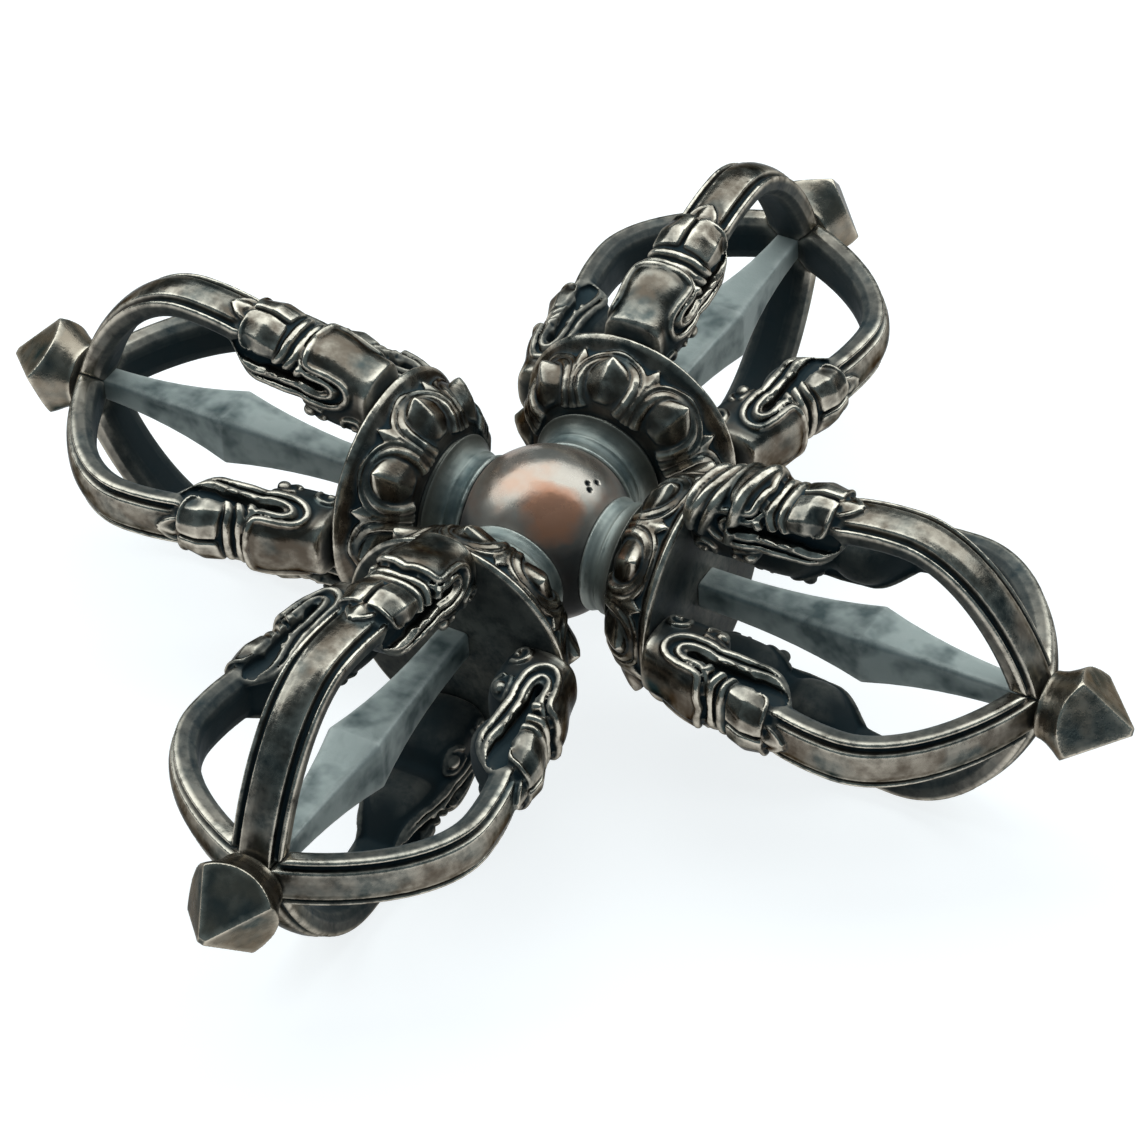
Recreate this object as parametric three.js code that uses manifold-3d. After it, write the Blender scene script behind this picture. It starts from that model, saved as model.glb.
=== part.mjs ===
// A double vajra: four makara-headed arms round a ball, each arm threaded on its own central rod.
// Millimetres, +Z up. The arms lie along +X, +Y, -X and -Y, and z = 0 is the surface that the piece rests on.
import * as THREE from "three";
import { mergeVertices } from "three/addons/utils/BufferGeometryUtils.js";
import Module from "manifold-3d";

const wasm = await Module();
wasm.setup();

// Overall sizes
const HALF_SPAN = 70; // middle of the ball to the point of a finial
const HUB_RADIUS = 10.9;

// Neck collar between the ball and the lotus
const NECK_RADIUS = 6.1; // where it leaves the ball
const NECK_WAIST = 5.5;
const COLLAR_RADIUS = 7.4;
const COLLAR_LENGTH = 3.2;
const WAIST_STATION = 1; // from the collar's start to its waist
const BEAD_HALF = 0.75; // half the thickness of its bead

// Lotus cup
const LOTUS_LENGTH = 7.4;
const LOTUS_RIM_RADIUS = 13.1;
const RIM_THICKNESS = 1.5;
const RIM_PROUD = 0.3; // by which the rim stands past the petals
const RIM_BEVEL = 0.45; // bevel behind the rim
const CUP_STEP = 0.3; // by which the foot of the cup stands past the collar
const CUP_FULLNESS = 0.7; // a smaller number makes the cup bulge sooner
const PETALS = 8;
const PETAL_RELIEF = 0.9;
const BORDER_RELIEF = 0.6; // height of a petal's border, as a share of its bud's
const BORDER_LENGTH = 0.2; // shares of a petal's length and half width that its border takes
const BORDER_WIDTH = 0.4;
const BUD_HALF_WIDTH = 0.7; // shares of a petal's half width and length that its bud takes
const BUD_LENGTH = 0.9;

// Makara head, from the lotus plate outwards
const HEAD_LENGTH = 17;
const ROOT_DEPTH = 5.6; // along the arm's radius
const ROOT_PROUD = 0.3; // how far a root stands past the lotus rim
const HEAD_DEPTH = 9.2; // at the snout, from its crown to the lower jaw
const HEAD_HALF_WIDTH = 3.9;
const SNOUT_RADIUS = 19.2; // arm's axis to the crown of the snout's two lobes
const SNOUT_NOTCH = 1.1; // cleft between the lobes
const LOBE_CREST = 0.9; // from the cleft to the crest of a lobe, which slopes from there like a roof
const BROW_DROP = 2.2; // crown of the brow under the crown of the snout
const RING_GROOVE = 0.8; // depth of the grooves beside the head's rings
const MOUTH_DEPTH = 0.16; // crease between snout and jaw, as a share of the half width
const LEAF_LENGTH = 5; // the pointed leaf that lies between the lobes
const LEAF_HALF_WIDTH = 1.5;
const LEAF_HEIGHT = 1.3;
const LAND_DEPTH = 0.3; // the flats worn into the lobes, on which the piece lies

// Blade of a prong
const BOW_RADIUS = 18.7; // arm's axis to the crown of the bow
const BOW_SHARE = 0.3; // how far along the blade its crown is
const BLADE_DIP = 0.9; // how far the blade leaves the snout under its crown
const BLADE_HALF_WIDTH = 3.1;
const BLADE_THICKNESS = 3.3;
const BLADE_SWELL = 0.1; // share by which the blade is wider at its middle
const BOW_PULL = 0.32; // how far the line runs on from its bow, as a share of the blade's length
const TIP_PULL = 0.11; // how steeply it comes in to the rod, as a share of the blade's length
const TIP_RISE = 0.44; // and as a share of the bow's radius

// Central rod
const ROD_TENON_RADIUS = 1.9;
const ROD_ROOT_HALF = 2.1;
const ROD_KNOP_HALF = 3.2;
const ROD_TIP_HALF = 1.5;
const ROD_HOLLOW = 1.9; // a larger number hollows the rod more beside its knop
const ROD_PEG_RADIUS = 1.1; // the round peg that the finial sits on
const ROD_PEG_LENGTH = 4;
const HUB_SOCKET_DEPTH = 4;

// Finial
const FINIAL_LENGTH = 9.7;
const FINIAL_NECK_RADIUS = 2.9;
const FINIAL_NECK_LENGTH = 0.8;
const FINIAL_WAIST_DEPTH = 0.3;
const FINIAL_RIM_HALF = 4.1; // half the side of its pyramid where the rim is
const FINIAL_GIRTH = 5.5; // to which the pyramid's corners are turned down
const FINIAL_SWELL = 0.35; // by which its flare stands over a straight cone
const FINIAL_POINT_LENGTH = 5.7;

// Fits
const SEAT_GAP = 0.3; // between a piece and the face that it rests on
const BORE_GAP = 0.3; // round a tenon or a peg
const PRONG_PEG_RADIUS = 1.5;
const PRONG_PEG_LENGTH = 2.6;

// Stations along an arm, from the middle of the ball
const NECK_STATION = Math.sqrt(HUB_RADIUS ** 2 - NECK_RADIUS ** 2);
const LOTUS_STATION = NECK_STATION + COLLAR_LENGTH;
const PLATE_STATION = LOTUS_STATION + LOTUS_LENGTH;
const PRONG_STATION = PLATE_STATION + SEAT_GAP;
const SNOUT_STATION = PRONG_STATION + HEAD_LENGTH;
const JUNCTION_STATION = HALF_SPAN - FINIAL_LENGTH;
const BLADE_LENGTH = JUNCTION_STATION - SNOUT_STATION;
const KNOP_STATION = (PLATE_STATION + JUNCTION_STATION) / 2;

const ROOT_RADIUS = LOTUS_RIM_RADIUS + ROOT_PROUD - ROOT_DEPTH / 2; // to the middle of a prong's root
const REST_HEIGHT = SNOUT_RADIUS - LAND_DEPTH; // the arms' axes over the surface that the piece rests on
const ROUND = 16; // sides of a turned piece
const PEG_SIDES = 12;
const PRONG_PEG_SIDES = 8;

const bronze = { color: 0x5a4a3c, roughness: 0.42, metalness: 0.85 };
const wornBronze = { color: 0x8a6248, roughness: 0.3, metalness: 0.9 };
const greyBronze = { color: 0x6e7a78, roughness: 0.55, metalness: 0.8 };

// Solids

function solidOf(geometry) {
  const bare = geometry.clone();
  bare.deleteAttribute("normal");
  bare.deleteAttribute("uv");
  const merged = mergeVertices(bare, 1e-4);
  return new wasm.Manifold(
    new wasm.Mesh({
      numProp: 3,
      vertProperties: merged.attributes.position.array,
      triVerts: new Uint32Array(merged.index.array),
    }),
  );
}

function geometryOf(solid) {
  const mesh = solid.getMesh();
  const geometry = new THREE.BufferGeometry();
  geometry.setAttribute("position", new THREE.BufferAttribute(mesh.vertProperties, 3));
  geometry.setIndex(new THREE.BufferAttribute(mesh.triVerts, 1));
  geometry.computeVertexNormals();
  return geometry;
}

// Turns a profile of [radius, station] points about the arm's own axis, which is X.
function turned(profile, segments = ROUND) {
  const points = profile.map(([radius, station]) => new THREE.Vector2(radius, station));
  return new THREE.LatheGeometry(points, segments).rotateZ(-Math.PI / 2);
}

function peg(radius, from, to, segments = PEG_SIDES) {
  const bar = new THREE.CylinderGeometry(radius, radius, to - from, segments);
  return bar.rotateZ(-Math.PI / 2).translate((from + to) / 2, 0, 0);
}

// Joins rings of points into one closed skin. Each ring runs anticlockwise seen from the end of the row.
function loft(rings) {
  const count = rings[0].length;
  const positions = rings.flat().flatMap((p) => [p.x, p.y, p.z]);
  const index = [];
  for (let i = 0; i + 1 < rings.length; i++)
    for (let j = 0; j < count; j++) {
      const a = i * count + j;
      const b = i * count + ((j + 1) % count);
      index.push(a, b, b + count, a, b + count, a + count);
    }
  const last = (rings.length - 1) * count;
  for (let j = 1; j + 1 < count; j++) {
    index.push(0, j + 1, j);
    index.push(last, last + j, last + j + 1);
  }
  const geometry = new THREE.BufferGeometry();
  geometry.setAttribute("position", new THREE.Float32BufferAttribute(positions, 3));
  geometry.setIndex(index);
  return geometry;
}

// Ball, with a flat seat and a blind socket for each arm

function hubGeometry() {
  let hub = solidOf(new THREE.SphereGeometry(HUB_RADIUS, 24, 12));
  for (let quarter = 0; quarter < 4; quarter++) {
    const turn = (quarter * Math.PI) / 2;
    const cap = new THREE.BoxGeometry(HUB_RADIUS, 2 * HUB_RADIUS, 2 * HUB_RADIUS);
    cap.translate(NECK_STATION + HUB_RADIUS / 2, 0, 0).rotateZ(turn);
    const socket = peg(ROD_TENON_RADIUS + BORE_GAP, NECK_STATION - HUB_SOCKET_DEPTH, HUB_RADIUS);
    hub = hub.subtract(solidOf(cap)).subtract(solidOf(socket.rotateZ(turn)));
  }
  return geometryOf(hub);
}

// Neck collar: a waist, then a rounded bead against the lotus

function collarGeometry() {
  const bore = ROD_TENON_RADIUS + BORE_GAP;
  const start = NECK_STATION + SEAT_GAP;
  const end = LOTUS_STATION;
  const profile = [[bore, start], [NECK_RADIUS, start], [NECK_WAIST, start + WAIST_STATION]];
  for (let k = 0; k <= 3; k++) {
    const angle = -Math.PI / 2 + (k * Math.PI) / 3;
    const station = end - BEAD_HALF + BEAD_HALF * Math.sin(angle);
    profile.push([COLLAR_RADIUS - BEAD_HALF + BEAD_HALF * Math.cos(angle), station]);
  }
  profile.push([bore, end], [bore, start]);
  return turned(profile);
}

// Lotus cup: eight arched petals round a flaring cup, closed by a flat plate with four sockets

// Radius of the bare cup at a share (0 to 1) of its length: it bulges at once and then runs level.
function cupRadius(share) {
  const root = COLLAR_RADIUS + CUP_STEP;
  const full = LOTUS_RIM_RADIUS - PETAL_RELIEF - RIM_PROUD;
  return root + (full - root) * Math.sin((Math.PI / 2) * share) ** CUP_FULLNESS;
}

// Height of a petal over the cup. share runs from its foot (0) to its tip (1), and across from -1
// to 1 over its width. Inside an arched border lies a bud, highest near the tip.
function petalHeight(share, across) {
  const arch = Math.sqrt(Math.max(0, 1 - across ** 4));
  const inside = arch - share;
  if (inside < 0) return 0;
  const width = Math.max(0, 1 - (across / BUD_HALF_WIDTH) ** 2);
  const bud = width * Math.sqrt(Math.sin(Math.PI * Math.min(1, share / BUD_LENGTH)));
  const onBorder = inside < BORDER_LENGTH || Math.abs(across) > 1 - BORDER_WIDTH;
  return PETAL_RELIEF * Math.max(onBorder ? BORDER_RELIEF : 0, bud);
}

function lotusGeometry() {
  const start = LOTUS_STATION + SEAT_GAP;
  const rows = [0, 0.22, 0.5, 0.76, 0.86, 1];
  const columns = PETALS * 6;
  const length = LOTUS_LENGTH - RIM_THICKNESS - SEAT_GAP;
  const ringAt = (station, radiusAt) => {
    const ring = [];
    for (let j = 0; j < columns; j++) {
      const angle = (2 * Math.PI * j) / columns;
      const radius = radiusAt((((j + 3) % 6) - 3) / 3);
      ring.push(new THREE.Vector3(station, radius * Math.cos(angle), radius * Math.sin(angle)));
    }
    return ring;
  };
  const rings = rows.map((share) =>
    ringAt(start + share * length, (across) => cupRadius(share) + petalHeight(share, across)),
  );
  rings.push(ringAt(PLATE_STATION - RIM_THICKNESS + RIM_BEVEL, () => LOTUS_RIM_RADIUS));
  rings.push(ringAt(PLATE_STATION, () => LOTUS_RIM_RADIUS));
  let lotus = solidOf(loft(rings));
  lotus = lotus.subtract(solidOf(peg(ROD_TENON_RADIUS + BORE_GAP, start - 1, PLATE_STATION + 1)));
  for (let quarter = 0; quarter < 4; quarter++) {
    const bottom = PLATE_STATION - PRONG_PEG_LENGTH;
    const socket = peg(PRONG_PEG_RADIUS + BORE_GAP, bottom, PLATE_STATION + 1, PRONG_PEG_SIDES);
    socket.translate(0, 0, ROOT_RADIUS).rotateX((quarter * Math.PI) / 2);
    lotus = lotus.subtract(solidOf(socket));
  }
  return geometryOf(lotus);
}

// Prong: a makara's head whose tongue is the blade that bows out and back to the rod

// Half a ring of a prong, from its crown round one side to its inner face, as shares of the half
// width and of the half depth. A blade has a crowned face between two raised edges. A head is
// rounded, with the crest of its lobe on the second point and the crease of its mouth on the fourth.
const BLADE_SECTION = [[0, 1], [0.52, 0.88], [0.76, 0.58], [0.95, 0.68], [0.88, -0.75], [0, -1]];
const HEAD_SECTION = [[0, 1], [0.55, 0.97], [0.94, 0.62], [1, -0.05], [0.78, -0.78], [0, -1]];
const CREST_POINT = 1;
const MOUTH_POINT = 3;

// One ring of a prong between an outer and an inner point (station, radius) of the arm's plane.
// gable, from 0 to 1, draws the ring's shoulders in to the crests of the two lobes.
function prongRing({ outer, inner, halfWidth, blade, notch = 0, gable = 0, mouth = 0 }) {
  const middle = outer.clone().add(inner).multiplyScalar(0.5);
  const reach = outer.clone().sub(inner).multiplyScalar(0.5);
  const side = HEAD_SECTION.map(([w, n], k) => {
    const [bladeW, bladeN] = BLADE_SECTION[k];
    return [w + (bladeW - w) * blade, n + (bladeN - n) * blade];
  });
  side[0][1] -= notch / reach.length();
  side[CREST_POINT][0] += (LOBE_CREST / halfWidth - side[CREST_POINT][0]) * gable;
  side[CREST_POINT][1] += (1 - side[CREST_POINT][1]) * gable;
  side[MOUTH_POINT][0] -= mouth;
  const whole = [...side, ...side.slice(1, -1).reverse().map(([w, n]) => [-w, n])];
  const mitre = Math.min(outer.y, inner.y) - SEAT_GAP / 2;
  const width = Math.min(halfWidth, mitre);
  return whole.map(([w, n]) => new THREE.Vector3(middle.x + reach.x * n, -w * width, middle.y + reach.y * n));
}

// The head's forms, from its root to its snout. along is a share of the head's length. rise is how
// far the crown has come from the root's crown (0) to the brow's (1) or, past the brow, to the
// snout's (2). drop is a groove under that, depth and width are shares of the full head, and notch
// is the share of the cleft between the lobes.
const HEAD_FORMS = [
  { along: 0, rise: 0, depth: 0.61, width: 0.76 }, // root, on the plate
  { along: 0.12, rise: 0.42, depth: 0.76, width: 0.84 },
  { along: 0.34, rise: 0.86, depth: 0.9, width: 0.95 }, // barrel
  { along: 0.45, rise: 1, depth: 0.86, width: 1 }, // brow
  { along: 0.51, rise: 0.95, drop: 1, depth: 0.66, width: 0.86 }, // groove
  { along: 0.58, rise: 1.25, depth: 0.76, width: 0.97 }, // ring of the collar
  { along: 0.65, rise: 1.35, drop: 1, depth: 0.7, width: 0.86 }, // groove
  { along: 0.72, rise: 1.7, depth: 0.94, width: 1, notch: 0.4, mouth: 0.5 }, // back of the snout
  { along: 0.86, rise: 2, depth: 1, width: 1.06, notch: 0.7, mouth: 1 }, // snout and lower jaw
  { along: 0.97, rise: 1.97, depth: 0.84, width: 1, notch: 1, mouth: 1 }, // lips
];

function headRings() {
  const root = ROOT_RADIUS + ROOT_DEPTH / 2;
  const brow = SNOUT_RADIUS - BROW_DROP;
  return HEAD_FORMS.map(({ along, rise, drop = 0, depth, width, notch = 0, mouth = 0 }) => {
    const station = PRONG_STATION + along * HEAD_LENGTH;
    const low = rise < 1 ? root : brow;
    const high = rise < 1 ? brow : SNOUT_RADIUS;
    const crown = low + (high - low) * (rise < 1 ? rise : rise - 1) - drop * RING_GROOVE;
    return {
      outer: new THREE.Vector2(station, crown),
      inner: new THREE.Vector2(station, crown - depth * HEAD_DEPTH),
      halfWidth: width * HEAD_HALF_WIDTH,
      blade: 0,
      notch: notch * SNOUT_NOTCH,
      gable: Math.min(1, 2 * notch),
      mouth: mouth * MOUTH_DEPTH,
    };
  });
}

// The leaf between the lobes: a four-sided point that lies on the root of the blade.
function leafGeometry() {
  const leaf = new THREE.OctahedronGeometry(1);
  leaf.scale(LEAF_LENGTH / 2, LEAF_HALF_WIDTH, LEAF_HEIGHT);
  return leaf.translate(SNOUT_STATION, 0, SNOUT_RADIUS - LEAF_HEIGHT);
}

// All over the height of rest, which wear has taken off the lobes of the snout.
function wornAway() {
  const height = SNOUT_RADIUS;
  const slab = new THREE.BoxGeometry(2 * HEAD_LENGTH, 4 * HEAD_HALF_WIDTH, height);
  return slab.translate(SNOUT_STATION, 0, REST_HEIGHT + height / 2);
}

// The blade's crown line: up from the snout to the bow, then round and in to the rod.
function bladeLine() {
  const start = new THREE.Vector2(SNOUT_STATION, BOW_RADIUS - BLADE_DIP);
  const bow = new THREE.Vector2(SNOUT_STATION + BLADE_LENGTH * BOW_SHARE, BOW_RADIUS);
  const end = new THREE.Vector2(JUNCTION_STATION, ROD_TIP_HALF + SEAT_GAP);
  const pull = (bow.x - start.x) / 3;
  const rise = new THREE.CubicBezierCurve(
    start,
    new THREE.Vector2(start.x + pull, bow.y - BLADE_DIP / 3),
    new THREE.Vector2(bow.x - pull, bow.y),
    bow,
  );
  const fall = new THREE.CubicBezierCurve(
    bow,
    new THREE.Vector2(bow.x + BLADE_LENGTH * BOW_PULL, bow.y),
    new THREE.Vector2(end.x - BLADE_LENGTH * TIP_PULL, end.y + BOW_RADIUS * TIP_RISE),
    end,
  );
  const line = new THREE.CurvePath();
  line.add(rise);
  line.add(fall);
  return line;
}

function bladeRings() {
  const line = bladeLine();
  const steps = 8;
  const rings = [];
  for (let k = 0; k <= steps; k++) {
    const share = k / steps;
    const outer = line.getPoint(share);
    const along = line.getTangent(share);
    const inward = new THREE.Vector2(along.y, -along.x);
    if (k === steps) inward.set(-1, 0);
    const inner = outer.clone().addScaledVector(inward, BLADE_THICKNESS);
    if (k === steps) outer.y = inner.y = ROD_TIP_HALF + SEAT_GAP;
    const swell = 1 + BLADE_SWELL * Math.sin(Math.PI * share);
    rings.push({ outer, inner, halfWidth: BLADE_HALF_WIDTH * swell, blade: 1 });
  }
  return rings;
}

function prongGeometry() {
  const body = solidOf(loft([...headRings(), ...bladeRings()].map(prongRing)));
  const root = peg(PRONG_PEG_RADIUS, PRONG_STATION - PRONG_PEG_LENGTH, PRONG_STATION + 1, PRONG_PEG_SIDES);
  const whole = body.add(solidOf(leafGeometry())).add(solidOf(root.translate(0, 0, ROOT_RADIUS)));
  return geometryOf(whole.subtract(solidOf(wornAway())));
}

// Central rod: square, hollowed both ways from a sharp-edged knop, with a round tenon at each end

function rodHalf(station) {
  const inward = station < KNOP_STATION;
  const thin = inward ? ROD_ROOT_HALF : ROD_TIP_HALF;
  const run = inward ? KNOP_STATION - PLATE_STATION : JUNCTION_STATION - KNOP_STATION;
  const away = Math.min(1, Math.abs(station - KNOP_STATION) / run);
  return thin + (ROD_KNOP_HALF - thin) * (1 - away) ** ROD_HOLLOW;
}

function rodGeometry() {
  const start = PRONG_STATION;
  const steps = 7;
  const closer = 1.3; // sets the rings closer together at the knop
  const rings = [];
  const stations = [];
  for (let k = 0; k < steps; k++)
    stations.push(KNOP_STATION - (KNOP_STATION - start) * (1 - k / steps) ** closer);
  for (let k = 0; k <= steps; k++)
    stations.push(KNOP_STATION + (JUNCTION_STATION - KNOP_STATION) * (k / steps) ** closer);
  for (const station of stations) {
    const half = rodHalf(station);
    const corners = [[1, 1], [-1, 1], [-1, -1], [1, -1]];
    rings.push(corners.map(([y, z]) => new THREE.Vector3(station, half * y, half * z)));
  }
  const tenon = peg(ROD_TENON_RADIUS, NECK_STATION - HUB_SOCKET_DEPTH + SEAT_GAP, start + 1);
  const tip = peg(ROD_PEG_RADIUS, JUNCTION_STATION - 1, JUNCTION_STATION + ROD_PEG_LENGTH);
  return geometryOf(solidOf(loft(rings)).add(solidOf(tenon)).add(solidOf(tip)));
}

// Finial: a turned neck and flare, cut to a four-sided point whose base edges arch

function finialGeometry() {
  const start = JUNCTION_STATION + SEAT_GAP;
  const slope = FINIAL_RIM_HALF / FINIAL_POINT_LENGTH;
  const rimStation = HALF_SPAN - FINIAL_POINT_LENGTH;
  const waist = FINIAL_NECK_RADIUS - FINIAL_WAIST_DEPTH;
  const swell = (waist + FINIAL_GIRTH) / 2 + FINIAL_SWELL;
  const turnedBody = turned([
    [0, start],
    [FINIAL_NECK_RADIUS, start],
    [waist, start + FINIAL_NECK_LENGTH / 2],
    [waist, start + FINIAL_NECK_LENGTH],
    [swell, (start + FINIAL_NECK_LENGTH + rimStation) / 2],
    [FINIAL_GIRTH, rimStation],
    [FINIAL_GIRTH, HALF_SPAN],
    [0, HALF_SPAN],
  ]);
  const height = HALF_SPAN - start + 1;
  const half = slope * height;
  const pyramid = new THREE.ConeGeometry(half * Math.SQRT2, height, 4, 1);
  pyramid.rotateY(Math.PI / 4).rotateZ(-Math.PI / 2).translate(HALF_SPAN - height / 2, 0, 0);
  const bore = peg(ROD_PEG_RADIUS + BORE_GAP, start - 1, JUNCTION_STATION + ROD_PEG_LENGTH + SEAT_GAP);
  return geometryOf(solidOf(turnedBody).intersect(solidOf(pyramid)).subtract(solidOf(bore)));
}

// Assembly

const shapes = {
  collar: collarGeometry(),
  lotus: lotusGeometry(),
  prong: prongGeometry(),
  rod: rodGeometry(),
  finial: finialGeometry(),
};

function piece(name, geometry, finish) {
  const mesh = new THREE.Mesh(geometry, new THREE.MeshStandardMaterial(finish));
  mesh.name = name;
  return mesh;
}

function arm(name) {
  const group = new THREE.Group();
  group.add(piece(name + "_neck_collar", shapes.collar, greyBronze));
  group.add(piece(name + "_lotus_cup", shapes.lotus, bronze));
  group.add(piece(name + "_central_rod", shapes.rod, greyBronze));
  group.add(piece(name + "_finial", shapes.finial, bronze));
  ["top", "left", "bottom", "right"].forEach((place, quarter) => {
    const prong = piece(name + "_prong_" + place, shapes.prong, bronze);
    prong.rotation.x = (-quarter * Math.PI) / 2;
    group.add(prong);
  });
  return group;
}

const vajra = new THREE.Group();
vajra.position.z = REST_HEIGHT;
vajra.add(piece("hub_ball", hubGeometry(), wornBronze));
["east", "north", "west", "south"].forEach((name, quarter) => {
  const one = arm(name);
  one.rotation.z = (quarter * Math.PI) / 2;
  vajra.add(one);
});

export default vajra;
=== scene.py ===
"""A bronze double vajra: four makara-headed arms crossed round a polished ball, lying on a pale table."""
import math

import bpy
import numpy as np
from mathutils import Matrix, Vector


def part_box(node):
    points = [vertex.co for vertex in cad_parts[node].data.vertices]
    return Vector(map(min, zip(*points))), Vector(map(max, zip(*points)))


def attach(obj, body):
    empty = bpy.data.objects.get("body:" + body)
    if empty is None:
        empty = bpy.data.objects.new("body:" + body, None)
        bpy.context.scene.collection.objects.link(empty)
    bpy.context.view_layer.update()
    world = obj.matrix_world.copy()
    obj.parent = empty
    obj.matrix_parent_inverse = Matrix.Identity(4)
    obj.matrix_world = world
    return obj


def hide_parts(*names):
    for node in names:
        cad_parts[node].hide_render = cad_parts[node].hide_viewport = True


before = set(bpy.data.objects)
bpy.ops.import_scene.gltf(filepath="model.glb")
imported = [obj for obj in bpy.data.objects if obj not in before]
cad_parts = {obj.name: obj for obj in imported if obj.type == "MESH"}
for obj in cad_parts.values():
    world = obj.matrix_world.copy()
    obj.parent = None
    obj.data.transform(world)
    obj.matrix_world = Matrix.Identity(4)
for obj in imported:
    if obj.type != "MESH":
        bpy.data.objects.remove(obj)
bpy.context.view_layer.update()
ball_low, ball_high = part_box("hub_ball")
ball_centre = (ball_low + ball_high) / 2

# Camera. It stands where the photographer stood: a long lens, high over the gap between the east
# and south arms, with the picture tipped by about three degrees.
VIEW_AZIMUTH = math.radians(31.31)
VIEW_ELEVATION = math.radians(41.40)
VIEW_ROLL = math.radians(-2.89)
VIEW_DISTANCE = 0.5233
LENS_MM = 150.75
SENSOR_MM = 36
AIM_RIGHT = 0.00279
AIM_UP = -0.00433
SEEN_FROM, SEEN_TO = 0.01, 20

back = Vector((math.sin(VIEW_AZIMUTH) * math.cos(VIEW_ELEVATION),
               -math.cos(VIEW_AZIMUTH) * math.cos(VIEW_ELEVATION),
               math.sin(VIEW_ELEVATION)))
level_right = Vector((math.cos(VIEW_AZIMUTH), math.sin(VIEW_AZIMUTH), 0))
level_up = back.cross(level_right)
view_right = math.cos(VIEW_ROLL) * level_right + math.sin(VIEW_ROLL) * level_up
view_up = back.cross(view_right)
camera = bpy.data.objects.new("camera", bpy.data.cameras.new("camera"))
bpy.context.scene.collection.objects.link(camera)
camera.data.lens = LENS_MM
camera.data.sensor_width = SENSOR_MM
camera.data.clip_start = SEEN_FROM
camera.data.clip_end = SEEN_TO
camera.location = ball_centre + AIM_RIGHT * view_right + AIM_UP * view_up + VIEW_DISTANCE * back
camera_turn = Matrix((view_right, view_up, back)).transposed()
camera.rotation_euler = camera_turn.to_euler()
bpy.context.scene.camera = camera

# Table and light. A plain white paper in a dim room. One wide soft lamp like a window stands beyond the
# piece and over it, as the broad highlight on the ball shows.
PAPER_RADIUS = 3
PAPER_GREY = (0.34, 0.34, 0.34, 1)
PAPER_MATT = 0.9
PAPER_SEEN_COLOUR = (0.95, 0.985, 1, 1)
PAPER_SEEN_LEVEL = 0.84
ROOM_COLOUR = (0.6, 0.86, 1, 1)
ROOM_LEVEL = 0.2
WINDOW_LIFT = math.radians(62)
WINDOW_DISTANCE = 0.6
WINDOW_SIZE = (2.2, 0.62)
WINDOW_POWER = 10
WINDOW_COLOUR = (0.91, 0.985, 1)


def maths(tree, work, first, second):
    """Works one value out of two in a shader's tree. Each is a number or what another node puts out."""
    made = tree.nodes.new("ShaderNodeMath")
    made.operation = work
    for value, way_in in ((first, made.inputs[0]), (second, made.inputs[1])):
        if isinstance(value, (int, float)):
            way_in.default_value = value
        else:
            tree.links.new(value, way_in)
    return made.outputs[0]


bpy.ops.object.select_all(action="DESELECT")
bpy.ops.mesh.primitive_circle_add(vertices=64, radius=PAPER_RADIUS, fill_type="NGON")
table = bpy.context.object
table.name = "table"

paper = bpy.data.materials.new("table_white")
paper.use_nodes = True
paper_tree = paper.node_tree
paper_skin = paper_tree.nodes["Principled BSDF"]
paper_skin.inputs["Base Color"].default_value = PAPER_GREY
paper_skin.inputs["Roughness"].default_value = PAPER_MATT
paper_skin.inputs["Specular IOR Level"].default_value = 0
ray = paper_tree.nodes.new("ShaderNodeLightPath").outputs
seen = maths(paper_tree, "MAXIMUM", ray["Is Camera Ray"], ray["Is Glossy Ray"])
seen = maths(paper_tree, "MAXIMUM", seen, ray["Is Transmission Ray"])
glow = paper_tree.nodes.new("ShaderNodeEmission")
glow.inputs["Color"].default_value = PAPER_SEEN_COLOUR
paper_tree.links.new(maths(paper_tree, "MULTIPLY", seen, PAPER_SEEN_LEVEL), glow.inputs["Strength"])
both = paper_tree.nodes.new("ShaderNodeAddShader")
paper_tree.links.new(paper_skin.outputs[0], both.inputs[0])
paper_tree.links.new(glow.outputs[0], both.inputs[1])
paper_tree.links.new(both.outputs[0], paper_tree.nodes["Material Output"].inputs["Surface"])
table.data.materials.append(paper)

room = bpy.data.worlds.new("room")
bpy.context.scene.world = room
room.use_nodes = True
room_light = room.node_tree.nodes["Background"]
room_light.inputs["Color"].default_value = ROOM_COLOUR
room_light.inputs["Strength"].default_value = ROOM_LEVEL

window = bpy.data.lights.new("window", "AREA")
window.shape = "RECTANGLE"
window.size, window.size_y = WINDOW_SIZE
window.energy = WINDOW_POWER
window.color = WINDOW_COLOUR
lamp = bpy.data.objects.new("window", window)
bpy.context.scene.collection.objects.link(lamp)
straight_past = -Vector((back.x, back.y, 0)).normalized()
to_window = straight_past * math.cos(WINDOW_LIFT) + Vector((0, 0, math.sin(WINDOW_LIFT)))
lamp.location = ball_centre + to_window * WINDOW_DISTANCE
lamp.rotation_euler = to_window.to_track_quat("Z", "Y").to_euler()
bpy.context.scene.view_settings.view_transform = "Standard"

# Ball. The middle of the cross is a solid bronze ball. It is turned, ground flat where the four necks
# sit and polished by hand to a copper brown. Three small casting pits are left in its crown.
MM = 0.001
SAME_PLACE = 0.001
AXIS_HEIGHT = ball_centre.z
BALL_RADIUS = 9.8
BALL_SEAT = 7.6
BALL_GRAIN = 0.22
BALL_DENTS = 0.1
DENT_SPACING = 4
PIT_RADIUS = 0.33
PIT_SUNK = 0.12
PITS = [(10.8, 58.3), (20.1, 52.8), (3.7, 55.1)]
# Colours of hollows and painted shade, skin, tarnish and worn places.
BALL_COLOURS = [(0.018, 0.023, 0.027), (0.37, 0.325, 0.28), (0.4, 0.225, 0.15), (0.62, 0.58, 0.53)]
COPPER_PATCH = (-52.5, 53.5)
COPPER_COLOUR = (0.42, 0.18, 0.1, 1)
COPPER_SHARE = 0.8
COPPER_METALLIC = 0.4
PATCH_EDGE = (0.0056, 0.004)
PATCH_WANDER = 0.0036
PATCH_NOISE = 300

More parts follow.
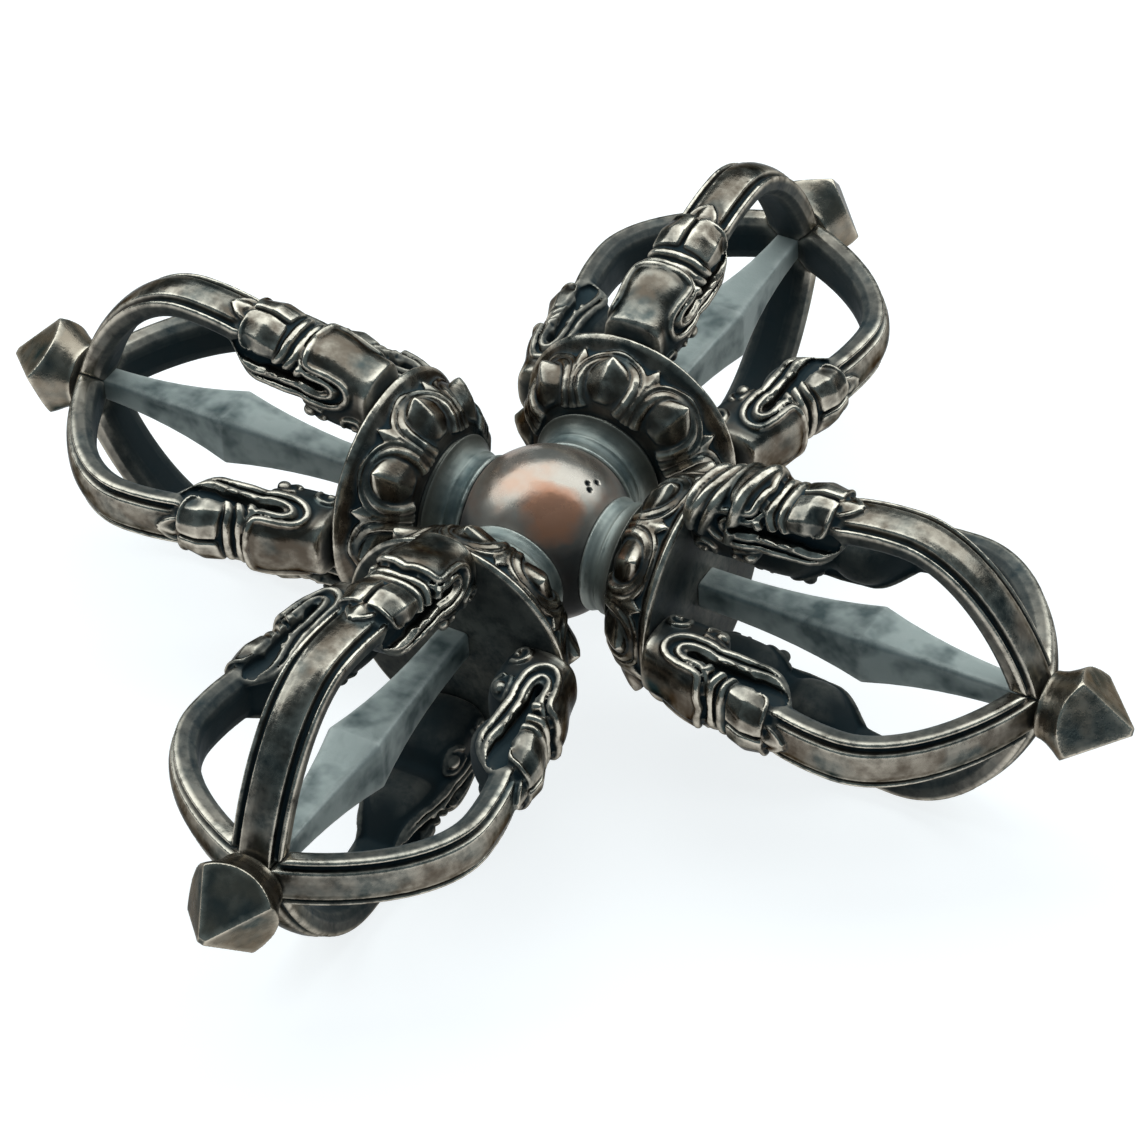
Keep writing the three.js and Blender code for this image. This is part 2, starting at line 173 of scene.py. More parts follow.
# How a casting is evened out, and how deep its skin's bumps look.
SKIN_ROUNDS = 2
LEVEL_ROUNDS = 200
BUMP_DEPTH = 0.00005
BUMP_STRENGTH = 0.6
GLANCE_LEVEL = 0.04

# The patina's patterns, each as its scale, detail and roughness.
SMUDGES = (520, 5, 0.65)
RUBBED_CLOUDS = (260, 3, 0.55)
TARNISH_CLOUDS = (170, 3, 0.55)
CAST_GRAIN = (4200, 3, 0.6)

# Where a mask of the patina begins and where it is full. Rise and fall are millimetres off the level.
RIDGE_RISE = (0.035, 0.17)
HOLLOW_FALL = (-0.025, -0.17)
SMUDGE_RUB = (0.28, 0.58)
SMUDGE_GLOSS = (0.3, 0.7)
CLOUD_RUB = (0.4, 0.7)
CLOUD_TARNISH = (0.46, 0.66)
SHADED_UNHANDLED_OXIDE = (0.35, 0.75)

# How strongly the masks work.
LEAST_LIGHT_AND_HAND_REACH = 0.35
# Painted shade: faces turned from the outside are darkened towards the hollow colour, as shade and as
# sheltered patina.
SHADE_AND_PATINA_DARKNESS = 0.85
CROWN_RUB = 0.27
SMUDGE_ROUGHNESS = 0.14
HOLLOW_ROUGHNESS = 0.25
RIDGE_ROUGHNESS = -0.06
SHADED_UNHANDLED_ROUGHNESS = 0.3
OXIDE_COVER = 0.95
GRAIN_HEIGHT = 0.35
SMUDGE_HEIGHT = 1.4


def only(piece):
    """Selects one object and makes it the active one."""
    bpy.ops.object.select_all(action="DESELECT")
    piece.select_set(True)
    bpy.context.view_layer.objects.active = piece
    return piece


def linked(name, data):
    """A new object that holds the data."""
    made = bpy.data.objects.new(name, data)
    bpy.context.scene.collection.objects.link(made)
    return only(made)


def modified(piece, kind, **settings):
    """Adds a modifier with its settings and applies it."""
    only(piece)
    made = piece.modifiers.new(kind.lower(), kind)
    for name, value in settings.items():
        setattr(made, name, value)
    bpy.ops.object.modifier_apply(modifier=made.name)
    return piece


def fused(piece, grain):
    """Makes overlapping forms one skin, as fine as the grain."""
    return modified(piece, "REMESH", mode="VOXEL", voxel_size=grain, adaptivity=0)


def smoothed(piece, rounds):
    """Evens a skin out."""
    return modified(piece, "SMOOTH", factor=0.5, iterations=rounds)


def cut_by(piece, cutter):
    """Cuts one piece out of another and clears the cutter away."""
    modified(piece, "BOOLEAN", operation="DIFFERENCE", solver="EXACT", object=cutter)
    bpy.data.objects.remove(cutter)
    return piece


def joined(pieces):
    """Joins several meshes into the first of them."""
    only(pieces[0])
    for piece in pieces:
        piece.select_set(True)
    bpy.ops.object.join()
    return bpy.context.object


def halved(piece, point, direction):
    """Cuts off what lies past a plane, and closes the cut."""
    only(piece)
    bpy.ops.object.mode_set(mode="EDIT")
    bpy.ops.mesh.select_all(action="SELECT")
    bpy.ops.mesh.bisect(plane_co=point, plane_no=direction, use_fill=True, clear_outer=True)
    bpy.ops.object.mode_set(mode="OBJECT")
    return piece


def points_of(mesh, what):
    """The mesh's places or normals, one row for each point."""
    values = np.empty(3 * len(mesh.vertices), dtype=np.float32)
    mesh.vertices.foreach_get(what, values)
    return values.reshape(-1, 3)


def cast(piece, grain, keep, outward_axes=(0, 1, 1), light_and_hand_reach=(-0.2, 0.7)):
    """Fuses a piece to one skin as a casting does, and stores where it stands proud and how squarely it
    faces out.

    How squarely a face looks away from the middle, along the outward axes, sets where hands rub it and
    where painted shade falls, besides its sheltered patina. The reach is how squarely a face has to look
    out to count a little and to count fully. Keep is the share of faces that is left in the end."""
    smoothed(fused(piece, grain), SKIN_ROUNDS)
    only(piece)
    bpy.ops.object.shade_smooth()
    level = smoothed(linked("level", piece.data.copy()), LEVEL_ROUNDS)
    place = points_of(piece.data, "co")
    normal = points_of(piece.data, "normal")
    proud = ((place - points_of(level.data, "co")) * normal).sum(axis=1)
    bpy.data.objects.remove(level)
    radial = place * outward_axes
    radial /= np.maximum(np.linalg.norm(radial, axis=1, keepdims=True), SAME_PLACE)
    # How squarely each point faces out: high where hands rub it, low where painted shade goes.
    lit_and_handled = np.clip(((radial * normal).sum(axis=1) - light_and_hand_reach[0]) / (light_and_hand_reach[1] - light_and_hand_reach[0]), 0, 1)
    for name, values in (("proud", proud), ("lit_and_handled", lit_and_handled)):
        stored = piece.data.attributes.new(name, "FLOAT", "POINT")
        stored.data.foreach_set("value", values.astype(np.float32))
    return modified(piece, "DECIMATE", ratio=keep)


def aged_metal():
    """Node group: patina, dark in hollows, painted shade as well as sheltered patina where faces turn from
    the outside, and rubbed bright on what is proud.
    """
    group = bpy.data.node_groups.new("aged_metal", "ShaderNodeTree")
    for name in ("Hollow_And_Shade", "Skin", "Tarnish", "Worn"):
        group.interface.new_socket(name=name, in_out="INPUT", socket_type="NodeSocketColor")
    for name in ("Wear", "Patches", "Grain", "Matt", "Bare"):
        group.interface.new_socket(name=name, in_out="INPUT", socket_type="NodeSocketFloat")
    group.interface.new_socket(name="Color", in_out="OUTPUT", socket_type="NodeSocketColor")
    for name in ("Metallic", "Roughness", "Height"):
        group.interface.new_socket(name=name, in_out="OUTPUT", socket_type="NodeSocketFloat")
    nodes, links = group.nodes, group.links
    inside = nodes.new("NodeGroupInput").outputs
    out = nodes.new("NodeGroupOutput").inputs
    place = nodes.new("ShaderNodeTexCoord")

    def noise(scale, detail, rough):
        made = nodes.new("ShaderNodeTexNoise")
        made.inputs["Scale"].default_value = scale
        made.inputs["Detail"].default_value = detail
        made.inputs["Roughness"].default_value = rough
        links.new(place.outputs["Object"], made.inputs["Vector"])
        return made.outputs["Fac"]

    def stored(name):
        made = nodes.new("ShaderNodeAttribute")
        made.attribute_name = name
        return made.outputs["Fac"]

    def mask(value, ends):
        made = nodes.new("ShaderNodeMapRange")
        made.inputs["From Min"].default_value, made.inputs["From Max"].default_value = ends
        links.new(value, made.inputs["Value"])
        return made.outputs["Result"]

    def times(first, second):
        return maths(group, "MULTIPLY", first, second)

    def plus(first, second):
        return maths(group, "ADD", first, second)

    def mixed(share, first, second):
        made = nodes.new("ShaderNodeMix")
        made.data_type = "RGBA"
        links.new(share, made.inputs["Factor"])
        links.new(first, made.inputs["A"])
        links.new(second, made.inputs["B"])
        return made.outputs["Result"]

    smudges = noise(*SMUDGES)
    lit_and_handled = stored("lit_and_handled")
    proud = stored("proud")
    shaded_and_unhandled = maths(group, "SUBTRACT", 1, lit_and_handled)
    light_and_hand_reach = plus(times(lit_and_handled, 1 - LEAST_LIGHT_AND_HAND_REACH), LEAST_LIGHT_AND_HAND_REACH)
    rubbing = times(mask(smudges, SMUDGE_RUB), inside["Wear"])
    ridge = times(times(mask(proud, RIDGE_RISE), rubbing), light_and_hand_reach)
    crown = times(times(maths(group, "POWER", lit_and_handled, 2), rubbing), mask(noise(*RUBBED_CLOUDS), CLOUD_RUB))
    hollow = mask(proud, HOLLOW_FALL)
    tarnish = times(mask(noise(*TARNISH_CLOUDS), CLOUD_TARNISH), inside["Patches"])
    colour = mixed(tarnish, inside["Skin"], inside["Tarnish"])
    # Painted shade, together with sheltered patina, on faces that turn from the outside.
    colour = mixed(times(shaded_and_unhandled, SHADE_AND_PATINA_DARKNESS), colour, inside["Hollow_And_Shade"])
    colour = mixed(times(crown, CROWN_RUB), colour, inside["Worn"])
    colour = mixed(ridge, colour, inside["Worn"])
    colour = mixed(hollow, colour, inside["Hollow_And_Shade"])
    links.new(colour, out["Color"])
    rough = plus(times(mask(smudges, SMUDGE_GLOSS), SMUDGE_ROUGHNESS), inside["Matt"])
    rough = plus(rough, times(hollow, HOLLOW_ROUGHNESS))
    rough = plus(rough, times(ridge, RIDGE_ROUGHNESS))
    links.new(plus(rough, times(shaded_and_unhandled, SHADED_UNHANDLED_ROUGHNESS)), out["Roughness"])
    covered = maths(group, "MAXIMUM", mask(shaded_and_unhandled, SHADED_UNHANDLED_OXIDE), hollow)
    bare = maths(group, "SUBTRACT", 1, times(covered, OXIDE_COVER))
    links.new(times(bare, inside["Bare"]), out["Metallic"])
    height = plus(times(noise(*CAST_GRAIN), GRAIN_HEIGHT), times(smudges, SMUDGE_HEIGHT))
    links.new(times(height, inside["Grain"]), out["Height"])
    return group


AGED_METAL = aged_metal()


def bronze(name, colours, matt, wear=1.0, patches=1.0, grain=1.0, bare=0.95, edge=0.25):
    """A cast bronze. Its colours are those of hollows and painted shade, skin, tarnish and worn places.
    Bare is how little oxide covers it, and edge is its glancing gleam."""
    made = bpy.data.materials.new(name)
    made.use_nodes = True
    nodes, links = made.node_tree.nodes, made.node_tree.links
    shader = nodes["Principled BSDF"]
    shader.inputs["Specular IOR Level"].default_value = GLANCE_LEVEL
    shader.inputs["Specular Tint"].default_value = (edge, edge, edge, 1)
    age = nodes.new("ShaderNodeGroup")
    age.node_tree = AGED_METAL
    for way_in, value in zip(("Hollow_And_Shade", "Skin", "Tarnish", "Worn"), colours):
        age.inputs[way_in].default_value = (*value, 1)
    amounts = {"Wear": wear, "Patches": patches, "Grain": grain, "Matt": matt, "Bare": bare}
    for way_in, value in amounts.items():
        age.inputs[way_in].default_value = value
    links.new(age.outputs["Color"], shader.inputs["Base Color"])
    links.new(age.outputs["Metallic"], shader.inputs["Metallic"])
    links.new(age.outputs["Roughness"], shader.inputs["Roughness"])
    bump = nodes.new("ShaderNodeBump")
    bump.inputs["Distance"].default_value = BUMP_DEPTH
    bump.inputs["Strength"].default_value = BUMP_STRENGTH
    links.new(age.outputs["Height"], bump.inputs["Height"])
    links.new(bump.outputs["Normal"], shader.inputs["Normal"])
    return made


def faded(finish, centre, edge, share, wander=0):
    """A mask round a point, from none at the edge's first distance to its full share at the second. Wander
    is how far noise moves that edge."""
    tree = finish.node_tree
    place = tree.nodes.new("ShaderNodeTexCoord").outputs["Object"]
    away = tree.nodes.new("ShaderNodeVectorMath")
    away.operation = "DISTANCE"
    away.inputs[1].default_value = centre
    tree.links.new(place, away.inputs[0])
    distance = away.outputs["Value"]
    if wander:
        ragged = tree.nodes.new("ShaderNodeTexNoise")
        ragged.inputs["Scale"].default_value = PATCH_NOISE
        tree.links.new(place, ragged.inputs["Vector"])
        distance = maths(tree, "ADD", maths(tree, "MULTIPLY", ragged.outputs["Fac"], wander), distance)
    fading = tree.nodes.new("ShaderNodeMapRange")
    fading.inputs["From Min"].default_value, fading.inputs["From Max"].default_value = edge
    fading.inputs["To Max"].default_value = share
    tree.links.new(distance, fading.inputs["Value"])
    return fading.outputs["Result"]


def overlaid(finish, way_in, share, value):
    """Lays a colour or a number over what feeds one of a bronze's inputs."""
    tree = finish.node_tree
    fed = tree.nodes["Principled BSDF"].inputs[way_in]
    over = tree.nodes.new("ShaderNodeMix")
    if isinstance(value, tuple):
        over.data_type = "RGBA"
    over.inputs["B"].default_value = value
    tree.links.new(share, over.inputs["Factor"])
    tree.links.new(fed.links[0].from_socket, over.inputs["A"])
    tree.links.new(over.outputs["Result"], fed)


def fitted(master, finish, node, quarter=0, side=0):
    """Copies a piece modelled in millimetres along +X to its arm and its side, in the node's place."""
    piece = linked(node + "_cast", master.data.copy())
    raised = Matrix.Translation((0, 0, AXIS_HEIGHT))
    arm_turn = Matrix.Rotation(math.radians(90 * quarter), 4, "Z")
    side_turn = Matrix.Rotation(math.radians(-90 * side), 4, "X")
    piece.data.transform(raised @ arm_turn @ side_turn @ Matrix.Scale(MM, 4))
    piece.data.materials.clear()
    piece.data.materials.append(finish)
    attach(piece, "root")
    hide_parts(node)
    return piece


def on_ball(azimuth, elevation, radius):
    """A point over the ball, by compass angle from east and by height angle."""
    turn, lift = math.radians(azimuth), math.radians(elevation)
    level = math.cos(lift)
    return Vector((math.cos(turn) * level, math.sin(turn) * level, math.sin(lift))) * radius


bpy.ops.object.select_all(action="DESELECT")
bpy.ops.mesh.primitive_uv_sphere_add(segments=96, ring_count=48, radius=BALL_RADIUS)
ball = bpy.context.object
for quarter in range(4):
    direction = Matrix.Rotation(math.radians(90 * quarter), 3, "Z") @ Vector((1, 0, 0))
    halved(ball, BALL_SEAT * direction, direction)
dents = bpy.data.textures.new("dents", "CLOUDS")
dents.noise_scale = DENT_SPACING
fused(ball, BALL_GRAIN)
modified(ball, "DISPLACE", texture=dents, strength=BALL_DENTS, mid_level=1, texture_coords="LOCAL")
pits = []
for azimuth, elevation in PITS:
    bpy.ops.object.select_all(action="DESELECT")
    bpy.ops.mesh.primitive_ico_sphere_add(subdivisions=2, radius=PIT_RADIUS,
                                          location=on_ball(azimuth, elevation, BALL_RADIUS - PIT_SUNK))
    bpy.ops.object.transform_apply()
    pits.append(bpy.context.object)
cut_by(ball, joined(pits))
# On the ball the outward axis is upright: it is painted darker towards the bottom as painted shade, and the
# rubbed colour on its crown is painted light as well as wear.
cast(ball, grain=0.13, keep=0.4, outward_axes=(0, 0, 1), light_and_hand_reach=(0.4, 0.9))
ball_bronze = bronze("ball_bronze", BALL_COLOURS, matt=0.16, wear=0.55, patches=0.6, grain=0.5, bare=0.82,
                     edge=0.6)
patch_centre = ball_centre + on_ball(*COPPER_PATCH, BALL_RADIUS * MM)
copper_patch = faded(ball_bronze, patch_centre, PATCH_EDGE, COPPER_SHARE, PATCH_WANDER)
overlaid(ball_bronze, "Base Color", copper_patch, COPPER_COLOUR)
overlaid(ball_bronze, "Metallic", copper_patch, COPPER_METALLIC)
fitted(ball, ball_bronze, "hub_ball")
bpy.data.objects.remove(ball)

# Neck collars. Each arm leaves the ball through a cast collar of grey, matt bronze: a smooth waist that
# flares to a sharp lip, with a thin bead behind it. It is threaded on the rod's tenon.
ARMS = ["east", "north", "west", "south"]
COLLAR_PROFILE = [
    (7.55, 3.0), (7.55, 6.35), (7.8, 6.5), (8.2, 6.3), (8.8, 6.15), (9.3, 6.25), (9.55, 6.45),
    (9.8, 6.4), (10.3, 6.55), (10.8, 6.9), (11.25, 7.4), (11.45, 7.75), (11.6, 7.75), (11.68, 7.3),
    (11.8, 7.1), (11.95, 7.2), (12.15, 7.3), (12.3, 7.15), (12.3, 3.0),
]
# Colours of hollows and painted shade, skin, tarnish and worn places.
GREY_COLOURS = [(0.024, 0.036, 0.042), (0.28, 0.3, 0.275), (0.1, 0.13, 0.128), (0.44, 0.45, 0.41)]
# Painted shade: the collar darkens to a brown from 11.2 mm off the ball's middle out to its lip.
LIP_SHADE_EDGE = (0.0112, 0.0134)
LIP_SHADE_SHARE = 0.75
LIP_SHADE_COLOUR = (0.085, 0.075, 0.06, 1)


def outward(piece):
    """Merges a mesh's doubles and turns its faces outwards."""
    only(piece)
    bpy.ops.object.mode_set(mode="EDIT")
    bpy.ops.mesh.select_all(action="SELECT")
    bpy.ops.mesh.remove_doubles(threshold=SAME_PLACE)
    bpy.ops.mesh.normals_make_consistent(inside=False)
    bpy.ops.object.mode_set(mode="OBJECT")
    return piece


def ring_of(points):
    """A ring of points joined by edges, in edit mode with all of it selected."""
    bpy.ops.object.select_all(action="DESELECT")
    bpy.ops.mesh.primitive_circle_add(vertices=len(points))
    ring = bpy.context.object
    for vertex, point in zip(ring.data.vertices, points):
        vertex.co = point
    bpy.ops.object.mode_set(mode="EDIT")
    bpy.ops.mesh.select_all(action="SELECT")
    return ring


def turned(profile, steps):
    """Spins a closed profile of (station, radius) points round the arm's axis."""
    piece = ring_of([(x, 0, r) for x, r in profile])
    bpy.ops.mesh.spin(steps=steps, angle=2 * math.pi, center=(0, 0, 0), axis=(1, 0, 0))
    bpy.ops.object.mode_set(mode="OBJECT")
    return outward(piece)


def on_each_arm(master, finish, piece):
    """Fits a copy to each arm and clears the master away."""
    for quarter, arm in enumerate(ARMS):
        fitted(master, finish, arm + "_" + piece, quarter)
    bpy.data.objects.remove(master)


collar = cast(turned(COLLAR_PROFILE, steps=96), grain=0.12, keep=0.4)
grey_bronze = bronze("grey_bronze", GREY_COLOURS, matt=0.34, wear=0.8, grain=1.6, bare=0.6, edge=0.5)
# Painted shade over the flare towards the lip.
painted_lip_shade = faded(grey_bronze, ball_centre, LIP_SHADE_EDGE, LIP_SHADE_SHARE)
overlaid(grey_bronze, "Base Color", painted_lip_shade, LIP_SHADE_COLOUR)
on_each_arm(collar, grey_bronze, "neck_collar")

# Lotus cups. A flaring cast cup with eight chased petals, each a keeled bud inside a band and a thin
# border, with the tips of a second row between them. A broad plain rim closes it and carries the prongs.
CUP_PROFILE = [
    (12.2, 1.6), (12.2, 7.6), (12.5, 8.6), (13.2, 9.9), (14.2, 10.8), (15.4, 11.3), (16.8, 11.5),
    (17.7, 11.7), (18.2, 12.3), (18.7, 12.95), (19.15, 13.3), (19.4, 13.25), (19.66, 12.9), (19.66, 1.6),
]
PETALS = 8
BORDER = [(12.35, 20.5), (12.9, 21.6), (14.2, 21.7), (15.7, 20.3), (16.9, 15.6), (17.7, 8), (17.95, 0)]
BORDER_RADIUS, BORDER_RISE = 0.3, 0.15
BAND = [(12.4, 14.5), (13.2, 17.0), (14.8, 16.6), (16.0, 13.2), (16.8, 6.8), (17.05, 0)]
BAND_RADIUS, BAND_RISE = 0.72, -0.2
BUD = [
    (12.35, 0, 9.3), (13.6, 0, 11.6), (15.0, 0, 12.8), (15.9, 0, 13.35), (16.6, 0, 12.7),
    (12.5, 1.3, 8.8), (12.5, -1.3, 8.8), (13.4, 2.4, 9.9), (13.4, -2.4, 9.9), (14.8, 2.9, 10.8),
    (14.8, -2.9, 10.8), (15.9, 2.3, 11.4), (15.9, -2.3, 11.4), (16.7, 1.1, 11.7), (16.7, -1.1, 11.7),
]
SECOND_LEAF = [
    (15.4, 1.0, 11.3), (15.4, -1.0, 11.3), (16.6, 1.1, 11.7), (16.6, -1.1, 11.7), (18.0, 0, 12.4),
    (16.6, 0, 12.1), (15.4, 0, 11.8), (18.0, 0, 11.8), (15.4, 0, 11.0),
]
SECOND_LEAF_SOFTNESS = 0.15
BLOCK_SHARP = math.radians(25)
# Colours of hollows and painted shade, skin, tarnish and worn places.
DARK_COLOURS = [(0.026, 0.041, 0.048), (0.086, 0.068, 0.052), (0.038, 0.051, 0.051), (0.58, 0.52, 0.435)]


def drawn(points, kind="BEZIER", cyclic=False, radii=None):
    """A line through points, smooth where its kind is BEZIER and straight where it is POLY."""
    data = bpy.data.curves.new("line", "CURVE")
    data.dimensions = "3D"
    data.resolution_u = 8
    spline = data.splines.new(kind)
    knots = spline.bezier_points if kind == "BEZIER" else spline.points
    knots.add(len(points) - 1)
    for k, (knot, point) in enumerate(zip(knots, points)):
        if kind == "BEZIER":
            knot.co = point
            knot.handle_left_type = knot.handle_right_type = "AUTO"
        else:
            knot.co = (*point, 1)
        if radii:
            knot.radius = radii[k]
    spline.use_cyclic_u = cyclic
    return linked("line", data)


def meshed(line):
    """Makes a line or a tube a mesh."""
    only(line)
    bpy.ops.object.convert(target="MESH")
    return bpy.context.object


def bead(line, radius):
    """Turns a line into a closed round bead."""
    line.data.bevel_depth = radius
    line.data.bevel_resolution = 2
    line.data.use_fill_caps = True
    return outward(meshed(line))


def laid(ground, points, radius, rise=0.0, fade=0.0):
    """A round bead laid on another piece's skin along points near it. Its middle stands off the skin by the
    rise, and fade is how thin its ends become."""
    line = meshed(drawn(points))
    modified(line, "SHRINKWRAP", target=ground, wrap_method="NEAREST_SURFACEPOINT", offset=rise,
             wrap_mode="ABOVE_SURFACE")
    only(line)
    bpy.ops.object.convert(target="CURVE")
    line = bpy.context.object
    knots = line.data.splines[0].points
    for k, knot in enumerate(knots):
        along = k / max(1, len(knots) - 1)
        knot.radius = 1 - fade * abs(2 * along - 1) ** 3
    return bead(line, radius)


def block(points, softness=0.0):
    """The closed block that spans a few points, with its edges rounded."""
    piece = ring_of(points)
    bpy.ops.mesh.convex_hull()
    bpy.ops.object.mode_set(mode="OBJECT")
    outward(piece)
    if softness:
        modified(piece, "BEVEL", width=softness, segments=3, limit_method="ANGLE", angle_limit=BLOCK_SHARP)
    return piece


def softened(points, grain, rounds):
    """A smooth lump in the hull of a few points."""
    return smoothed(fused(block(points), grain), rounds)


def on_cup(points):
    """Points given as (station, degrees from the crown), at the cup's own radius there."""
    stations, radii = zip(*CUP_PROFILE[1:-1])
    found = []
    for x, degrees in points:
        radius, turn = np.interp(x, stations, radii), math.radians(degrees)
        found.append((x, radius * math.sin(turn), radius * math.cos(turn)))
    return found


def arched(half):
    """A whole arch from the points of its one half, whose last point is its crown."""
    return half + [(x, -a) for x, a in reversed(half[:-1])]


cup = turned(CUP_PROFILE, steps=96)
petal = joined([
    laid(cup, on_cup(arched(BORDER)), BORDER_RADIUS, BORDER_RISE),
    laid(cup, on_cup(arched(BAND)), BAND_RADIUS, BAND_RISE),
    softened(BUD, grain=0.25, rounds=12),
])
second_leaf = block(SECOND_LEAF, SECOND_LEAF_SOFTNESS)
second_leaf.data.transform(Matrix.Rotation(math.pi / PETALS, 4, "X"))
petal = joined([petal, second_leaf])
petals = []
for k in range(PETALS):
    copy = linked("petal", petal.data.copy())
    copy.data.transform(Matrix.Rotation(2 * math.pi * k / PETALS, 4, "X"))
    petals.append(copy)
bpy.data.objects.remove(petal)
# The rim's flat face and the petals' sides turned to the ball face away from the outside and take painted
# shade.
cup = cast(joined([cup] + petals), grain=0.13, keep=0.35)
dark_bronze = bronze("dark_bronze", DARK_COLOURS, matt=0.17)
on_each_arm(cup, dark_bronze, "lotus_cup")

# Central rods. The core of each arm is a square bar, hollowed both ways from a sharp knop. It was never
# polished: the bronze is grey and grainy as it left the mould.
ROD_START, ROD_KNOP, ROD_END = 19.72, 39.97, 60.4
ROD_ROOT_HALF, ROD_KNOP_HALF, ROD_TIP_HALF = 1.75, 3.3, 1.4
ROD_STEPS = 9
ROD_CROWDING = 1.3
ROD_HOLLOW = 2.3
ROD_SQUARENESS = 7
# Colours of hollows and painted shade, skin, tarnish and worn places.
ROD_COLOURS = [(0.024, 0.036, 0.042), (0.4, 0.435, 0.41), (0.09, 0.118, 0.118), (0.6, 0.62, 0.58)]


def rounded_square(count, squareness):
    """Points of a rounded square from -1 to 1, (side, up), counted from its crown."""
    points = []
    for k in range(count):
        angle = 2 * math.pi * k / count
        s, c = math.sin(angle), math.cos(angle)
        points.append((math.copysign(abs(s) ** (2 / squareness), s),
                       math.copysign(abs(c) ** (2 / squareness), c)))
    return points


def loft(stations, squareness, count=24):
    """Extrudes a rounded section through stations of (station, inner, outer, half width)."""
    bpy.ops.object.select_all(action="DESELECT")
    bpy.ops.mesh.primitive_circle_add(vertices=count, fill_type="NGON")
    piece = bpy.context.object
    x, low, high, half = stations[0]
    for vertex, (side, up) in zip(piece.data.vertices, rounded_square(count, squareness)):
        vertex.co = (x, side * half, (low + high) / 2 + up * (high - low) / 2)
    bpy.ops.object.mode_set(mode="EDIT")
    bpy.ops.mesh.select_all(action="SELECT")
    for (x0, low0, high0, half0), (x1, low1, high1, half1) in zip(stations, stations[1:]):
        middle0, middle1 = (low0 + high0) / 2, (low1 + high1) / 2
        bpy.ops.mesh.extrude_region_move(TRANSFORM_OT_translate={"value": (x1 - x0, 0, middle1 - middle0)})
        bpy.ops.transform.resize(value=(1, half1 / half0, (high1 - low1) / (high0 - low0)),
                                 center_override=(x1, 0, middle1))
    bpy.ops.object.mode_set(mode="OBJECT")
    return outward(piece)


def rod_stations():
    """Half widths along the rod: two hollow curves that meet in the knop's edge."""
    found = []
    for thin, end in ((ROD_ROOT_HALF, ROD_START), (ROD_TIP_HALF, ROD_END)):
        curve = []
        for k in range(ROD_STEPS + 1):
            away = 1 - (1 - k / ROD_STEPS) ** ROD_CROWDING
            half = thin + (ROD_KNOP_HALF - thin) * (1 - away) ** ROD_HOLLOW
            curve.append((ROD_KNOP + (end - ROD_KNOP) * away, -half, half, half))
        found.append(curve)
    return found[0][::-1] + found[1][1:]


rod = cast(loft(rod_stations(), ROD_SQUARENESS, count=48), grain=0.13, keep=0.35)
rod_bronze = bronze("rod_bronze", ROD_COLOURS, matt=0.36, wear=0.8, grain=2.4, bare=0.14, edge=0.45)
on_each_arm(rod, rod_bronze, "central_rod")

# Prongs. Sixteen makara heads, cast and then chased. A barrel of a neck ends in a raised brow, and two
# ribbons run from the brow down the cheek, loop, and follow the jaw to a hook. The snout is two ridged
# lobes and a pointed leaf, and the tongue is a blade that bows out and comes back to the rod.
HEAD = [
    (19.6, 8.0, 15.2, 3.6), (20.5, 7.5, 15.4, 3.7), (21.8, 7.3, 15.7, 3.75), (23.4, 7.3, 16.1, 3.85),
    (25.0, 7.5, 17.0, 4.0), (26.6, 7.9, 17.45, 4.05), (27.7, 8.9, 17.5, 3.95), (28.2, 10.2, 16.8, 3.6),
    (28.8, 10.9, 16.2, 3.3), (29.8, 10.8, 16.3, 3.3), (30.6, 10.2, 17.1, 3.5), (32.0, 9.8, 17.4, 3.55),
    (33.6, 9.9, 17.4, 3.55), (35.0, 10.8, 17.4, 3.4), (36.2, 12.3, 17.5, 3.1), (37.0, 13.9, 17.6, 2.8),
    (37.8, 14.8, 17.7, 2.4),
]
HEAD_SQUARENESS = 2.9
HEAD_GRAIN, HEAD_ROUNDS = 0.2, 3
JAW = [
    (25.0, 3.6, 11.8), (25.0, 3.6, 13.6), (30.0, 3.85, 11.6), (30.0, 3.85, 13.7),
    (33.2, 3.5, 11.9), (33.2, 3.5, 13.4), (25.0, 1, 12.4), (34.2, 1.5, 12.7),
]
JAW_SOFTNESS = 0.3
SNOUT_CROWN = 18.86
LOBE = [
    (31.4, 0.24, 17.9), (31.4, 2.3, 17.5), (31.3, 3.5, 16.6), (31.6, 3.75, 15.4),
    (33.6, 0.24, SNOUT_CROWN), (33.6, 1.9, 18.6), (33.6, 3.6, 17.4), (33.6, 4.0, 15.4),
    (35.9, 0.24, SNOUT_CROWN), (35.9, 1.6, 18.6), (35.9, 3.1, 17.4), (35.8, 3.35, 15.8),
    (36.7, 0.3, 17.2), (36.7, 2.2, 16.9), (33.4, 0.3, 15.5),
]
LEAF = [
    (35.6, 0, 18.3), (36.5, 1.6, 17.7), (36.5, -1.6, 17.7), (37.6, 1.2, 18.2), (37.6, -1.2, 18.2),
    (38.8, 0, 18.75), (36.6, 0, 18.7), (37.6, 0, 16.9),
]
LEAF_SOFTNESS = 0.2
LEAF_EDGE = [(36.2, 1.5, 17.7), (37.4, 1.25, 18.15), (38.7, 0.1, 18.5)]
LOBE_EDGE = [
    (35.9, 0.4, 18.5), (36.0, 1.6, 18.35), (36.0, 3.0, 17.4), (35.7, 3.5, 16.2), (34.4, 3.85, 15.2),
]
RIM_RADIUS = 0.26
